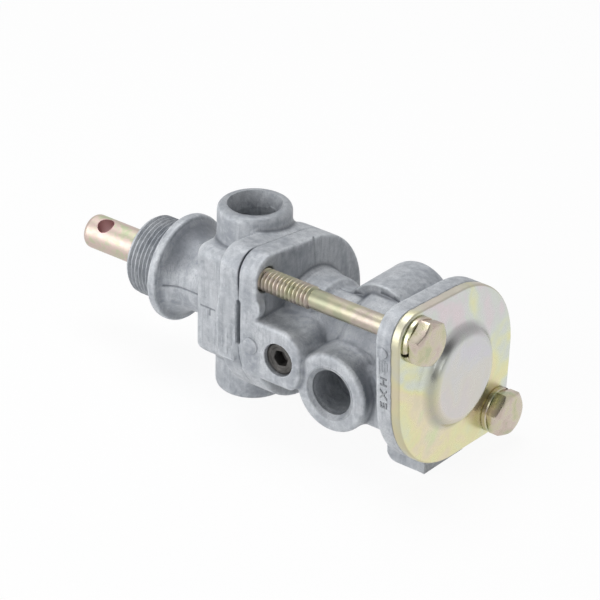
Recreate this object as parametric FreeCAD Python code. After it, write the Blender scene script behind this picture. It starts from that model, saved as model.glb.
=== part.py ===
import FreeCAD, Part
import math
import os

from FreeCAD import Vector

# Push-pull air valve with two port blocks in line, held together by two long cap screws.
# The plunger slides along X: the free end of its rod is at -X, the end cover at +X.
# The exhaust port faces -Y, the supply port faces +Z and the delivery port -Z.
# The origin lies on the plunger axis, in the face of the collar that meets the panel.

# Driving dimensions in millimetres

# Ports, all alike
port_r = 6.25
port_mouth_r = 7.2
port_depth = 12.0
port_chamfer = 1.0

# Plunger rod and its cross hole for the knob pin
rod_r = 4.76
rod_reach = 21.2
rod_end_round = 1.6
rod_shoulder_setback = 2.0
rod_shoulder_chamfer = 0.8
pin_hole_r = 2.38
pin_hole_setback = 6.4
pin_hole_turn = 25.0
travel = 6.3

# Threaded neck, collar and the round neck behind it
thread_r = 11.1
thread_length = 10.7
thread_chamfer = 0.5
collar_r = 14.85
collar_t = 2.7
collar_edge = 0.4
collar_step_r = 13.2
neck_r = 10.2
neck_sweep = 6.5

# Upper body block and its two port bosses
block_x0 = 16.1
block_half_width = 14.0
block_corner_z = 17.3
block_round_r = 18.7
block_corner_round = 3.0
block_edge_round = 2.0
flange_edge_round = 1.0
upper_port_x = 24.7
upper_boss_r = 9.95
upper_boss_z = 26.8
boss_rim_round = 1.7

# Joint between the two bodies
joint_x = 37.5
upper_flange_t = 6.6
lower_flange_t = 5.9
joint_r = 22.2
joint_ear_r = 6.1
joint_ear_in = 1.6
joint_ear_out = 0.5
joint_edge = 0.2
lower_flange_round = 0.5
slot_depth = 2.6
slot_half_width = 0.65
slot_z0 = -1.1
slot_z1 = 11.6

# Pads left by the mould on the -Y rims of the joint flanges
upper_pad_x = 30.1
upper_pad_z = [12.6, 6.0, 0.5, -7.0]
pad_depth = 2.8
lower_pad_x = 41.05
lower_pad_z = 10.8
lower_pad_r = 3.5

# Long cap screws, on a 45 degree diagonal through the axis
screw_setout = 1.173
screw_thread_r = 3.12
screw_shank_r = 2.7
screw_thread_length = 26.8
screw_engagement = 5.2
screw_hole_r = 3.5
head_flats = 11.1
head_h = 3.9
head_chamfer_r = 4.9
head_chamfer_slope = 30.0
head_turns = [38.0, 46.0]
thread_tip_chamfer = 0.7
thread_runout = 0.5
washer_r = 6.15
washer_t = 1.5
washer_split = 1.0
washer_split_lean = 25.0
washer_turns = [200.0, 60.0]
washer_edge = 0.25

# Lower body barrel
barrel_near_r = 13.8
barrel_mid_r = 12.9
barrel_waist_r = 11.5
barrel_far_r = 13.9
barrel_step_x = 2.4
barrel_step_l = 1.0
barrel_taper = 0.3
barrel_mid_x = 51.5
waist_x0 = 53.0
waist_x1 = 61.5
far_x0 = 64.0

# Side ports of the lower body
side_port_x = 66.4
side_port_drop = 5.8
side_boss_r = 11.0
exhaust_reach = 20.7
far_reach = 18.0
side_block_x0 = 65.0
side_block_y = 16.9
side_block_round = 2.2
side_boss_round = 1.4

# Lobe for the plugged cross drilling
lobe_x1 = 57.8
lobe_half = 8.7
lobe_corner = 6.4
lobe_round = 1.0
lobe_low_round = 3.0
lobe_core_y = 3.0
plug_x = 50.7
plug_z = -1.2
plug_r = 4.5
plug_t = 6.0
plug_recess = 1.0
plug_key = 2.4
plug_key_depth = 3.6
plug_key_turn = 12.0
plug_edge = 0.5
plug_drill_r = 2.3
plug_drill_end_y = 7.0

# End flange, cover and foot
end_flange_x = 83.5
end_flange_t = 4.8
end_overhang = 1.8
end_ear_r = 7.2
end_low_ear_in = 0.8
end_low_ear_out = 0.4
end_low_ear_r = 6.1
end_edge_round = 0.5
cover_t = 2.7
dome_base_r = 14.3
dome_top_r = 11.9
dome_h = 3.0
dome_sheet = 1.4
dome_round = 1.3
dome_foot_round = 0.9
foot_x0 = 76.0
foot_half_width = 8.5
foot_edge_round = 3.0

# Bores of the upper body
supply_bore_r = 8.0
supply_x0 = 13.0
inlet_web_x0 = 23.6
inlet_web_x1 = 26.0
inlet_hole_r = 5.8
seat_ridge_w = 0.8
seat_ridge_h = 0.7
delivery_bore_r = 11.0
passage_r = 2.2
passage_entry = 1.5
supply_passage_x = 21.0
delivery_passage_x = 28.1

# Double-faced valve disc and what clamps it
disc_r = 8.5
disc_t = 4.0
stem_r = 3.0
stop_collar_r = 4.6
stop_collar_t = 2.2
valve_washer_r = 5.0
valve_washer_t = 1.0
valve_nut_flats = 8.0
valve_nut_h = 3.0

# Exhaust seat insert
seat_insert_r = 12.4
seat_insert_t = 4.5
exhaust_hole_r = 5.6
seat_dish_r = 10.6
seat_dish_depth = 1.2
seat_ridge_slope = 0.6

# Plunger tail with spring plate and nut
tail_r = 2.5
tail_shoulder_x = 44.5
tail_x1 = 50.5
tail_chamfer = 0.5
spring_plate_r = 8.2
spring_plate_t = 1.5
tail_nut_flats = 8.0
tail_nut_h = 3.0

# Bores of the lower body
spring_bore_r = 9.0
spring_web_x0 = 60.0
spring_web_x1 = 63.0
web_hole_r = 4.5
exhaust_bore_r = 7.0
piston_bore_x0 = 73.0
piston_bore_r = 11.0
exhaust_passage_r = 3.4
exhaust_passage_end_y = 2.0
aux_passage_r = 1.2
aux_passage_y = 12.2
end_recess_r = 15.0
end_recess_depth = 1.0
side_port_floor = 8.6

# Tripper piston
piston_setback = 7.6
piston_t = 5.8
piston_stem_r = 2.5
piston_tip_chamfer = 0.4
piston_free_travel = 1.2
piston_groove_w = 2.4
piston_groove_depth = 1.6
piston_rim_chamfer = 0.6
stop_boss_r = 4.5

# Springs
plunger_spring_r = 7.0
plunger_spring_wire = 1.2
plunger_spring_turns = 5.0
piston_spring_r = 5.7
piston_spring_wire = 0.8
piston_spring_turns = 6.0

# Rings of rubber
stem_ring_x = 8.2
stem_ring_wire = 1.9
stem_groove_w = 2.4
wiper_t = 1.8
wiper_r = 6.7
joint_ring_r = 15.0
joint_ring_wire = 1.8
cover_ring_r = 17.0
cover_ring_wire = 1.6

# Clearances
slide_gap = 0.06
thread_gap = 0.03
ring_gap = 0.03
seat_gap = 0.05
fit_gap = 0.1
spring_gap = 0.02

# How far cutters run past a face, and joined forms into each other
overrun = 1.0

# Places worked out from the driving dimensions
rod_end_x = -thread_length - rod_reach
upper_flange_x = joint_x - upper_flange_t
lower_flange_x = joint_x + lower_flange_t
end_face_x = end_flange_x + end_flange_t
cover_face_x = end_face_x + cover_t
dome_roof_x = end_face_x + dome_h
foot_z = upper_boss_z
end_r = joint_r + end_overhang
screw_offset = (end_r + screw_setout) / math.sqrt(2)
inlet_seat_x = inlet_web_x1 + seat_ridge_h
disc_x0 = inlet_seat_x + seat_gap
disc_x1 = disc_x0 + disc_t
exhaust_seat_x = disc_x1 + travel + seat_gap
piston_tip_x = tail_x1 + travel + piston_free_travel + seat_gap
piston_x0 = end_face_x - piston_setback
piston_x1 = piston_x0 + piston_t
shoulder_x = supply_x0 - rod_shoulder_setback
screw_tip_x = joint_x - screw_engagement
screw_head_x = cover_face_x + washer_t

AXIS_X = Vector(1, 0, 0)
AXIS_Y = Vector(0, 1, 0)
AXIS_Z = Vector(0, 0, 1)


def rod_x(r, x0, x1, y=0.0, z=0.0):
    """Cylinder along X from x0 to x1."""
    return Part.makeCylinder(r, x1 - x0, Vector(x0, y, z), AXIS_X)


def rod_y(r, y0, y1, x, z):
    """Cylinder along Y from y0 to y1."""
    return Part.makeCylinder(r, y1 - y0, Vector(x, y0, z), AXIS_Y)


def rod_z(r, z0, z1, x, y=0.0):
    """Cylinder along Z from z0 to z1."""
    return Part.makeCylinder(r, z1 - z0, Vector(x, y, z0), AXIS_Z)


def block(x0, x1, y0, y1, z0, z1):
    """Box between two corners."""
    return Part.makeBox(x1 - x0, y1 - y0, z1 - z0, Vector(x0, y0, z0))


def turned(points):
    """Solid turned about X from (x, radius) points; a point marked "arc" is passed by an arc."""
    edges = []
    start = Vector(points[0][0], 0, points[0][1])
    through = None
    for point in points[1:] + points[:1]:
        place = Vector(point[0], 0, point[1])
        if "arc" in point:
            through = place
            continue
        if through:
            edges.append(Part.Arc(start, through, place).toShape())
        else:
            edges.append(Part.LineSegment(start, place).toShape())
        start = place
        through = None
    return Part.Face(Part.Wire(edges)).revolve(Vector(0, 0, 0), AXIS_X, 360)


def about_axis(shape):
    """Copy of the shape turned half a turn about the plunger axis."""
    copy = shape.copy()
    copy.rotate(Vector(0, 0, 0), AXIS_X, 180)
    return copy


def joined(first, *others):
    """Union of the shapes, with merged faces."""
    return first.fuse(list(others)).removeSplitter()


def circle_edges(shape, radius, x=None, z=None, y=None):
    """Full circle edges of one radius whose centre has the given coordinates."""
    found = []
    for edge in shape.Edges:
        curve = edge.Curve
        if not isinstance(curve, Part.Circle) or abs(curve.Radius - radius) > 1e-4:
            continue
        centre = curve.Center
        wanted = [(a, b) for a, b in ((centre.x, x), (centre.y, y), (centre.z, z)) if b is not None]
        if all(abs(a - b) < 1e-4 for a, b in wanted):
            found.append(edge)
    return found


def edges_on_plane(shape, axis, value):
    """Edges that lie whole in a plane across one axis."""
    found = []
    for edge in shape.Edges:
        box = edge.BoundBox
        low, high = {"x": (box.XMin, box.XMax), "y": (box.YMin, box.YMax), "z": (box.ZMin, box.ZMax)}[axis]
        if abs(low - value) < 1e-3 and abs(high - value) < 1e-3:
            found.append(edge)
    return found


def wire_yz(x, pieces):
    """Face across X from lines and arcs given as lists of (y, z) points: two make a line, three an arc."""
    edges = []
    for piece in pieces:
        points = [Vector(x, y, z) for y, z in piece]
        if len(points) == 2:
            edges.append(Part.LineSegment(*points).toShape())
        else:
            edges.append(Part.Arc(*points).toShape())
    return Part.Face(Part.Wire(edges))


def ear_plate(x0, x1, round_r, ears):
    """Plate whose outline wraps a circle and two ears, each ear given as (y, z, radius)."""

    def on(y, z, r, angle):
        return (y + r * math.cos(angle), z + r * math.sin(angle))

    spans = []
    for y, z, r in ears:
        lean = math.acos((round_r - r) / math.hypot(y, z))
        turn = math.atan2(z, y)
        spans.append((turn - lean, turn, turn + lean))
    pieces = []
    for i, (y, z, r) in enumerate(ears):
        start, turn, end = spans[i]
        onward = spans[1 - i][0]
        if onward < end:
            onward += 2 * math.pi
        ear0 = on(y, z, r, start)
        ear1 = on(y, z, r, end)
        round1 = on(0, 0, round_r, end)
        pieces.append((on(0, 0, round_r, start), ear0))
        pieces.append((ear0, on(y, z, r, turn), ear1))
        pieces.append((ear1, round1))
        pieces.append((round1, on(0, 0, round_r, (end + onward) / 2), on(0, 0, round_r, onward)))
    return wire_yz(x0, pieces).extrude(Vector(x1 - x0, 0, 0))


def joint_ears():
    """Ears of the joint flanges, alike on both sides, a little nearer the mid-plane than the screws."""
    y = screw_offset - joint_ear_in
    z = screw_offset + joint_ear_out
    return [(-y, z, joint_ear_r), (y, -z, joint_ear_r)]


def end_ears():
    """Ears of the end flange and its cover, the lower one smaller than the upper."""
    low_y = screw_offset - end_low_ear_in
    low_z = screw_offset + end_low_ear_out
    return [(-screw_offset, screw_offset, end_ear_r), (low_y, -low_z, end_low_ear_r)]


def screw_places():
    """Centres of the two cap screws as (y, z)."""
    return [(-screw_offset, screw_offset), (screw_offset, -screw_offset)]


def port_cut(face, floor, along, x, other):
    """Cutter for a tapped port: a bore with a countersunk mouth, from its face down to its floor."""
    sign = 1 if face > floor else -1
    bore_height = abs(face - floor)
    mouth_angle_h = port_mouth_r - port_r
    direction = Vector(0, -sign, 0) if along == "y" else Vector(0, 0, -sign)
    base = Vector(x, face, other) if along == "y" else Vector(x, other, face)
    bore = Part.makeCylinder(port_r, bore_height, base, direction)
    mouth = Part.makeCone(port_mouth_r, port_r, mouth_angle_h * port_chamfer, base, direction)
    return bore.fuse(mouth)


def block_outline(x):
    """Outline of the upper port block: a barrel with flat sides and two corners towards the screws."""
    side_z = math.sqrt(block_round_r ** 2 - block_half_width ** 2)
    top_y = math.sqrt(block_round_r ** 2 - block_corner_z ** 2)
    w = block_half_width
    c = block_corner_round
    bend = c * (1 - math.sqrt(0.5))
    corner_z = block_corner_z
    middle_turn = (math.atan2(corner_z, -top_y) + math.atan2(side_z, w)) / 2
    middle = (block_round_r * math.cos(middle_turn), block_round_r * math.sin(middle_turn))
    half = [
        ((-w, -side_z), (-w, corner_z - c)),
        ((-w, corner_z - c), (-w + bend, corner_z - bend), (-w + c, corner_z)),
        ((-w + c, corner_z), (-top_y, corner_z)),
        ((-top_y, corner_z), middle, (w, side_z)),
    ]
    turned_half = [tuple((-y, -z) for y, z in piece) for piece in half]
    return wire_yz(x, half + turned_half)


def neck_form():
    """Threaded neck at its outer diameter, collar and the long fillet that runs into the round neck."""
    front = -thread_length
    rise = collar_step_r - neck_r
    fillet_r = (neck_sweep ** 2 + rise ** 2) / (2 * rise)
    fillet_x = collar_t + neck_sweep
    turn = math.asin(neck_sweep / fillet_r) / 2
    middle = (fillet_x - fillet_r * math.sin(turn), neck_r + fillet_r * (1 - math.cos(turn)), "arc")
    return turned([
        (front, 0),
        (front, thread_r - thread_chamfer),
        (front + thread_chamfer, thread_r),
        (0, thread_r),
        (0, collar_r - collar_edge),
        (collar_edge, collar_r),
        (collar_t - collar_edge, collar_r),
        (collar_t, collar_r - collar_edge),
        (collar_t, collar_step_r),
        middle,
        (fillet_x, neck_r),
        (block_x0 + 2 * overrun, neck_r),
        (block_x0 + 2 * overrun, 0),
    ])


def upper_pad():
    """Pad with a slanted end on the -Y rim of the upper flange, standing out towards the neck."""
    top, high, low, bottom = upper_pad_z
    places = [(upper_flange_x, top), (upper_pad_x, high), (upper_pad_x, low), (upper_flange_x, bottom)]
    places += [(joint_x - 2 * slot_half_width, bottom), (joint_x - 2 * slot_half_width, top)]
    corners = [Vector(x, -joint_r, z) for x, z in places]
    pad = Part.Face(Part.makePolygon(corners + [corners[0]])).extrude(Vector(0, pad_depth, 0))
    return pad


def rim_slot():
    """Cutter for the slot that shows between the joint flanges on their -Y rim."""
    return block(
        joint_x - slot_half_width, joint_x + slot_half_width,
        -joint_r - overrun, -joint_r + slot_depth,
        slot_z0, slot_z1,
    )


def upper_body():
    """Upper casting: neck, port block, two port bosses and the joint flange, with its bores."""
    body = block_outline(block_x0).extrude(Vector(upper_flange_x + overrun - block_x0, 0, 0))
    body = body.makeFillet(block_edge_round, edges_on_plane(body, "x", block_x0))
    column = rod_z(upper_boss_r, -upper_boss_z, upper_boss_z, upper_port_x)
    column = column.makeFillet(boss_rim_round, column.Edges[0:1] + column.Edges[2:3])
    flange = ear_plate(upper_flange_x, joint_x, joint_r, joint_ears())
    flange = flange.makeFillet(flange_edge_round, edges_on_plane(flange, "x", upper_flange_x))
    flange = flange.makeChamfer(joint_edge, edges_on_plane(flange, "x", joint_x))
    body = joined(body, neck_form(), column, flange, upper_pad())

    passage_end_z = upper_boss_z - port_depth + overrun
    cuts = [
        port_cut(upper_boss_z, upper_boss_z - port_depth, "z", upper_port_x, 0),
        port_cut(-upper_boss_z, -upper_boss_z + port_depth, "z", upper_port_x, 0),
        rod_x(rod_r + slide_gap, -thread_length, supply_x0),
        rod_x(wiper_r, -thread_length, -thread_length + wiper_t + fit_gap),
        rod_x(rod_r + stem_ring_wire, stem_ring_x - stem_groove_w / 2, stem_ring_x + stem_groove_w / 2),
        rod_x(supply_bore_r, supply_x0, inlet_web_x0),
        rod_x(inlet_hole_r, inlet_web_x0, inlet_web_x1 + overrun),
        rod_x(delivery_bore_r, inlet_web_x1, joint_x),
        rod_z(passage_r, supply_bore_r - passage_entry, passage_end_z, supply_passage_x),
        rod_z(passage_r, -passage_end_z, passage_entry - delivery_bore_r, delivery_passage_x),
        rim_slot(),
    ]
    for y, z in screw_places():
        cuts.append(rod_x(screw_thread_r + thread_gap, upper_flange_x - overrun, joint_x, y, z))
    body = body.cut(cuts[0].fuse(cuts[1:]))
    ridge = rod_x(inlet_hole_r + seat_ridge_w, inlet_web_x1, inlet_seat_x)
    ridge = ridge.cut(rod_x(inlet_hole_r, inlet_web_x1, inlet_seat_x))
    return joined(body, ridge)


def barrel():
    """Round middle of the lower body, stepped as cast."""
    step_x = lower_flange_x + barrel_step_x
    return turned([
        (joint_x + overrun, 0),
        (joint_x + overrun, barrel_near_r),
        (step_x, barrel_near_r),
        (step_x + barrel_step_l, barrel_mid_r + barrel_taper),
        (barrel_mid_x, barrel_mid_r),
        (waist_x0, barrel_waist_r),
        (waist_x1, barrel_waist_r),
        (far_x0, barrel_far_r),
        (end_flange_x + overrun, barrel_far_r),
        (end_flange_x + overrun, 0),
    ])


def plug_lobe():
    """Flat-faced lobe on the -Y side that holds the plugged cross drilling."""
    x0 = joint_x + overrun
    z0 = plug_z - lobe_half
    z1 = plug_z + lobe_half
    c = lobe_corner
    bend = c * (1 - math.sqrt(0.5))
    y = -joint_r
    points = [
        Vector(x0, y, z0),
        Vector(lobe_x1 - c, y, z0),
        Vector(lobe_x1 - bend, y, z0 + bend),
        Vector(lobe_x1, y, z0 + c),
        Vector(lobe_x1, y, z1 - c),
        Vector(lobe_x1 - bend, y, z1 - bend),
        Vector(lobe_x1 - c, y, z1),
        Vector(x0, y, z1),
    ]
    edges = [
        Part.LineSegment(points[0], points[1]).toShape(),
        Part.Arc(points[1], points[2], points[3]).toShape(),
        Part.LineSegment(points[3], points[4]).toShape(),
        Part.Arc(points[4], points[5], points[6]).toShape(),
        Part.LineSegment(points[6], points[7]).toShape(),
        Part.LineSegment(points[7], points[0]).toShape(),
    ]
    lobe = Part.Face(Part.Wire(edges)).extrude(Vector(0, joint_r - lobe_core_y, 0))
    lobe = lobe.makeFillet(lobe_round, edges_on_plane(lobe, "y", y))
    r = lobe_low_round
    end = lobe_x1 + overrun
    edge = block(x0 - overrun, end, y - overrun, y + r, z0 - overrun, z0 + r)
    return lobe.cut(edge.cut(rod_x(r, x0 - overrun, end, y + r, z0 + r)))


def side_boss(reach):
    """Round boss of the side port on the -Y side with the block that carries it to the end flange."""
    boss = rod_y(side_boss_r, -reach, 0, side_port_x, -side_port_drop)
    boss = boss.makeFillet(side_boss_round, circle_edges(boss, side_boss_r, y=-reach))
    low = -barrel_far_r
    high = barrel_far_r - 2 * side_port_drop
    base = block(side_block_x0, end_flange_x + overrun, -side_block_y, 0, low, high)
    rounded = [e for e in edges_on_plane(base, "y", -side_block_y) if e.BoundBox.XLength > side_block_round]
    return boss.fuse(base.makeFillet(side_block_round, rounded))


def foot():
    """Square foot below the end flange, level with the lower port boss."""
    body = block(foot_x0, end_face_x, -foot_half_width, foot_half_width, -foot_z, 0)
    toe = [e for e in edges_on_plane(body, "x", foot_x0) if abs(e.BoundBox.ZMax + foot_z) < 1e-3]
    return body.makeFillet(foot_edge_round, toe)


def lower_body():
    """Lower casting: joint flange, barrel, side ports, lobe, end flange and foot, with its bores."""
    joint = ear_plate(joint_x, lower_flange_x, joint_r, joint_ears())
    joint = joint.makeChamfer(joint_edge, edges_on_plane(joint, "x", joint_x))
    joint = joint.makeFillet(lower_flange_round, edges_on_plane(joint, "x", lower_flange_x))
    pad = rod_y(lower_pad_r, -joint_r, -joint_r + pad_depth, lower_pad_x, lower_pad_z)
    end = ear_plate(end_flange_x, end_face_x, end_r, end_ears())
    end = end.makeFillet(end_edge_round, edges_on_plane(end, "x", end_flange_x))
    body = joined(
        joint,
        pad,
        barrel(),
        plug_lobe(),
        side_boss(exhaust_reach),
        about_axis(side_boss(far_reach)),
        foot(),
        end,
    )
    exhaust_z = -side_port_drop
    far_z = side_port_drop
    cuts = [
        port_cut(-exhaust_reach, -side_port_floor, "y", side_port_x, exhaust_z),
        port_cut(far_reach, side_port_floor, "y", side_port_x, far_z),
        rod_y(exhaust_passage_r, -side_port_floor - overrun, -exhaust_passage_end_y, side_port_x, exhaust_z),
        rod_x(aux_passage_r, side_port_x, end_face_x, aux_passage_y, far_z),
        rod_x(seat_insert_r + fit_gap, joint_x, joint_x + seat_insert_t),
        rod_x(spring_bore_r, joint_x + seat_insert_t, spring_web_x0),
        rod_x(web_hole_r, spring_web_x0, spring_web_x1),
        rod_x(exhaust_bore_r, spring_web_x1, piston_bore_x0),
        rod_x(piston_bore_r, piston_bore_x0, end_face_x),
        rod_x(end_recess_r, end_face_x - end_recess_depth, end_face_x),
        ring_groove(joint_x, joint_ring_r, joint_ring_wire, 1),
        ring_groove(end_face_x, cover_ring_r, cover_ring_wire, -1),
        rod_y(plug_r + thread_gap, -joint_r, -joint_r + plug_recess + plug_t, plug_x, plug_z),
        rod_y(plug_drill_r, -joint_r, -plug_drill_end_y, plug_x, plug_z),
        rim_slot(),
    ]
    for y, z in screw_places():
        cuts.append(rod_x(screw_hole_r, joint_x, lower_flange_x + overrun, y, z))
        cuts.append(rod_x(screw_hole_r, end_flange_x - overrun, end_face_x, y, z))
    return body.cut(cuts[0].fuse(cuts[1:]))


def ring_groove(x, radius, wire, side):
    """Face groove for a rubber ring, cut from plane x towards the given side."""
    half = wire / 2 + fit_gap
    depth = wire - 2 * ring_gap
    x0, x1 = sorted((x, x + side * depth))
    return rod_x(radius + half, x0, x1).cut(rod_x(radius - half, x0, x1))


def rubber_ring(x, radius, wire):
    """Rubber ring about the plunger axis, its round section given eight sides to keep it light."""
    corner = wire / 2 / math.cos(math.radians(22.5))
    profile = []
    for i in range(8):
        a = math.radians(45 * i + 22.5)
        profile.append((x + corner * math.cos(a), radius + corner * math.sin(a)))
    return turned(profile)


def hex_prism(x0, x1, flats, turn=0.0, y=0.0, z=0.0):
    """Hexagonal prism along X with the given width across flats."""
    corner = flats / math.sqrt(3)
    points = []
    for i in range(7):
        a = math.radians(60 * i + turn)
        points.append(Vector(x0, y + corner * math.cos(a), z + corner * math.sin(a)))
    return Part.Face(Part.makePolygon(points)).extrude(Vector(x1 - x0, 0, 0))


def cap_screw(y, z, turn):
    """Hexagon cap screw with a thread at its tip, a thinner shank and a chamfered head."""
    thread_x1 = screw_tip_x + screw_thread_length
    head_x1 = screw_head_x + head_h
    crown_r = head_flats / math.sqrt(3) + fit_gap
    slope = (crown_r - head_chamfer_r) * math.tan(math.radians(head_chamfer_slope))
    shaft = turned([
        (screw_tip_x, 0),
        (screw_tip_x, screw_thread_r - thread_tip_chamfer),
        (screw_tip_x + thread_tip_chamfer, screw_thread_r),
        (thread_x1 - thread_runout, screw_thread_r),
        (thread_x1, screw_shank_r),
        (screw_head_x + overrun, screw_shank_r),
        (screw_head_x + overrun, 0),
    ])
    crown = turned([
        (screw_head_x, 0),
        (screw_head_x, crown_r),
        (head_x1 - slope, crown_r),
        (head_x1, head_chamfer_r),
        (head_x1, 0),
    ])
    head = hex_prism(screw_head_x, head_x1, head_flats, turn).common(crown)
    screw = joined(shaft, head)
    screw.translate(Vector(0, y, z))
    return screw


def lock_washer(y, z, turn):
    """Split spring washer under a screw head."""
    ring = ring_on_stem(cover_face_x, screw_head_x, washer_r, screw_thread_r + fit_gap)
    ring = ring.makeChamfer(washer_edge, circle_edges(ring, washer_r))
    half = washer_split / 2
    gap = block(cover_face_x - overrun, screw_head_x + overrun, 0, washer_r + overrun, -half, half)
    middle = Vector(cover_face_x + washer_t / 2, 0, 0)
    gap.rotate(middle, AXIS_Y, washer_split_lean)
    gap.rotate(middle, AXIS_X, turn)
    ring = ring.cut(gap)
    ring.translate(Vector(0, y, z))
    return ring


def end_cover():
    """Flat steel cover with the outline of the end flange and a round pressed dome."""
    plate = ear_plate(end_face_x, cover_face_x, end_r, end_ears())
    plate = plate.makeFillet(end_edge_round, edges_on_plane(plate, "x", cover_face_x))
    dome = turned([
        (end_face_x, 0),
        (end_face_x, dome_base_r),
        (cover_face_x, dome_base_r),
        (cover_face_x + dome_h, dome_top_r),
        (cover_face_x + dome_h, 0),
    ])
    dome = dome.makeFillet(dome_round, circle_edges(dome, dome_top_r))
    plate = joined(plate, dome)
    hollow = turned([
        (end_face_x, 0),
        (end_face_x, dome_base_r - dome_sheet),
        (dome_roof_x, dome_top_r - dome_sheet),
        (dome_roof_x, 0),
    ])
    cuts = [hollow]
    for y, z in screw_places():
        cuts.append(rod_x(screw_hole_r, end_face_x, cover_face_x, y, z))
    plate = plate.cut(cuts[0].fuse(cuts[1:]))
    return plate.makeFillet(dome_foot_round, circle_edges(plate, dome_base_r, x=cover_face_x))


def plunger():
    """Turned plunger: rod, stem with the stop collar of the valve disc, and threaded tail."""
    stop_x0 = disc_x0 - stop_collar_t
    form = turned([
        (rod_end_x, 0),
        (rod_end_x, rod_r),
        (shoulder_x - rod_shoulder_chamfer, rod_r),
        (shoulder_x, rod_r - rod_shoulder_chamfer),
        (shoulder_x, stem_r),
        (stop_x0, stem_r),
        (stop_x0, stop_collar_r),
        (disc_x0, stop_collar_r),
        (disc_x0, stem_r),
        (tail_shoulder_x, stem_r),
        (tail_shoulder_x, tail_r),
        (tail_x1 - tail_chamfer, tail_r),
        (tail_x1, tail_r - tail_chamfer),
        (tail_x1, 0),
    ])
    form = form.makeFillet(rod_end_round, circle_edges(form, rod_r, x=rod_end_x))
    hole = rod_z(pin_hole_r, -rod_r - overrun, rod_r + overrun, rod_end_x + pin_hole_setback)
    hole.rotate(Vector(rod_end_x + pin_hole_setback, 0, 0), AXIS_X, pin_hole_turn)
    return form.cut(hole)


def ring_on_stem(x0, x1, outer, inner):
    """Flat ring about the axis."""
    return rod_x(outer, x0, x1).cut(rod_x(inner, x0, x1))


def nut(x0, x1, flats, hole_r):
    """Plain hexagon nut about the axis."""
    return hex_prism(x0, x1, flats).cut(rod_x(hole_r, x0, x1))


def coil_spring(x0, x1, radius, wire, turns):
    """Compression spring about the axis, wound on a helix, its wire given six sides to keep it light."""
    half = wire / 2
    start = x0 + half + spring_gap
    length = x1 - x0 - wire - 2 * spring_gap
    pitch = length / turns
    helix = Part.makeHelix(pitch, length, radius)
    corners = []
    for i in range(7):
        a = math.radians(60 * i)
        corners.append(Vector(radius + half * math.cos(a), 0, half * math.sin(a)))
    coil = Part.Wire(helix).makePipeShell([Part.makePolygon(corners)], True, True)
    coil.rotate(Vector(0, 0, 0), AXIS_Y, 90)
    coil.translate(Vector(start, 0, 0))
    return coil


def exhaust_seat():
    """Brass insert clamped at the joint, with the seat ridge for the far face of the valve disc."""
    x1 = joint_x + seat_insert_t
    ridge_r = exhaust_hole_r + seat_ridge_w
    return turned([
        (joint_x, seat_dish_r),
        (joint_x, seat_insert_r),
        (x1, seat_insert_r),
        (x1, exhaust_hole_r),
        (exhaust_seat_x, exhaust_hole_r),
        (exhaust_seat_x, ridge_r),
        (joint_x + seat_dish_depth, ridge_r + seat_ridge_slope),
        (joint_x + seat_dish_depth, seat_dish_r),
    ])


def side_plug():
    """Hexagon socket plug, screwed in below the face of the lobe."""
    y0 = -joint_r + plug_recess
    body = rod_y(plug_r, y0, y0 + plug_t, plug_x, plug_z)
    body = body.makeChamfer(plug_edge, circle_edges(body, plug_r, y=y0))
    corner = plug_key / math.cos(math.radians(30))
    points = []
    for i in range(7):
        a = math.radians(60 * i + plug_key_turn)
        points.append(Vector(plug_x + corner * math.cos(a), y0, plug_z + corner * math.sin(a)))
    key = Part.Face(Part.makePolygon(points)).extrude(Vector(0, plug_key_depth, 0))
    return body.cut(key)


def tripper_piston():
    """Piston behind the cover: stem towards the plunger, seal groove, and a boss that rests on the dome."""
    groove_x0 = piston_x0 + (piston_t - piston_groove_w) / 2
    groove_x1 = groove_x0 + piston_groove_w
    crown_r = piston_bore_r - slide_gap
    groove_r = crown_r - piston_groove_depth
    return turned([
        (piston_tip_x, 0),
        (piston_tip_x, piston_stem_r - piston_tip_chamfer),
        (piston_tip_x + piston_tip_chamfer, piston_stem_r),
        (piston_x0, piston_stem_r),
        (piston_x0, crown_r),
        (groove_x0, crown_r),
        (groove_x0, groove_r),
        (groove_x1, groove_r),
        (groove_x1, crown_r),
        (piston_x1 - piston_rim_chamfer, crown_r),
        (piston_x1, crown_r - piston_rim_chamfer),
        (piston_x1, stop_boss_r),
        (dome_roof_x - seat_gap, stop_boss_r),
        (dome_roof_x - seat_gap, 0),
    ])


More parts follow.
